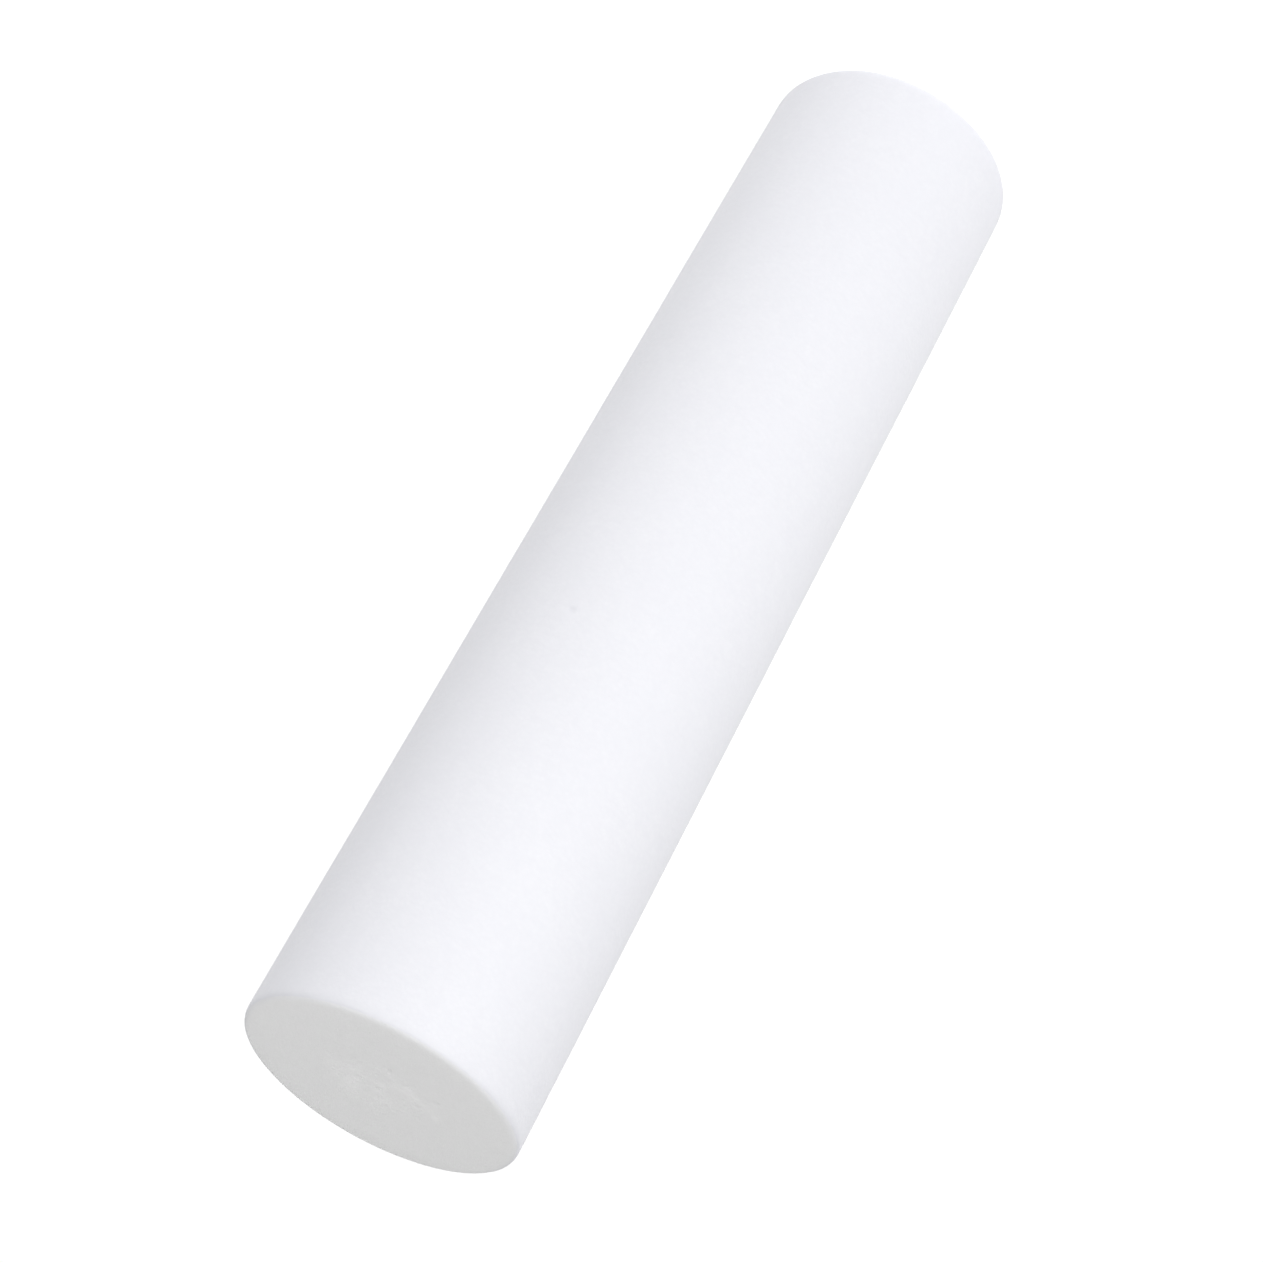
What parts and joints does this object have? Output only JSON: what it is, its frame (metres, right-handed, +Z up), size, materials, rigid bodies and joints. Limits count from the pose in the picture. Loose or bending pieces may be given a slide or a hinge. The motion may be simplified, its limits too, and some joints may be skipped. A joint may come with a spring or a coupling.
{
  "type": "foam roller",
  "caption": "Full-round white foam roller: a smooth-skinned closed-cell foam log with flat, square-cut ends, for self-massage, balance and floor exercise.",
  "frame": {"origin": "centre of the bottom end face, which the roller stands on", "axes": "+Z up the axis of the log, from the bottom end face to the top one; +X and +Y lie in the bottom face, and any two directions serve, because the log is round"},
  "size_m": [0.1523, 0.1524, 0.6858],
  "materials": {
    "skin_foam": "satin",
    "body_foam": "matte",
    "core_foam": "matte"
  },
  "bodies": {
    "root": {"outer_skin": "skin_foam", "foam_body": "body_foam", "foam_core": "core_foam"}
  },
  "joints": []
}
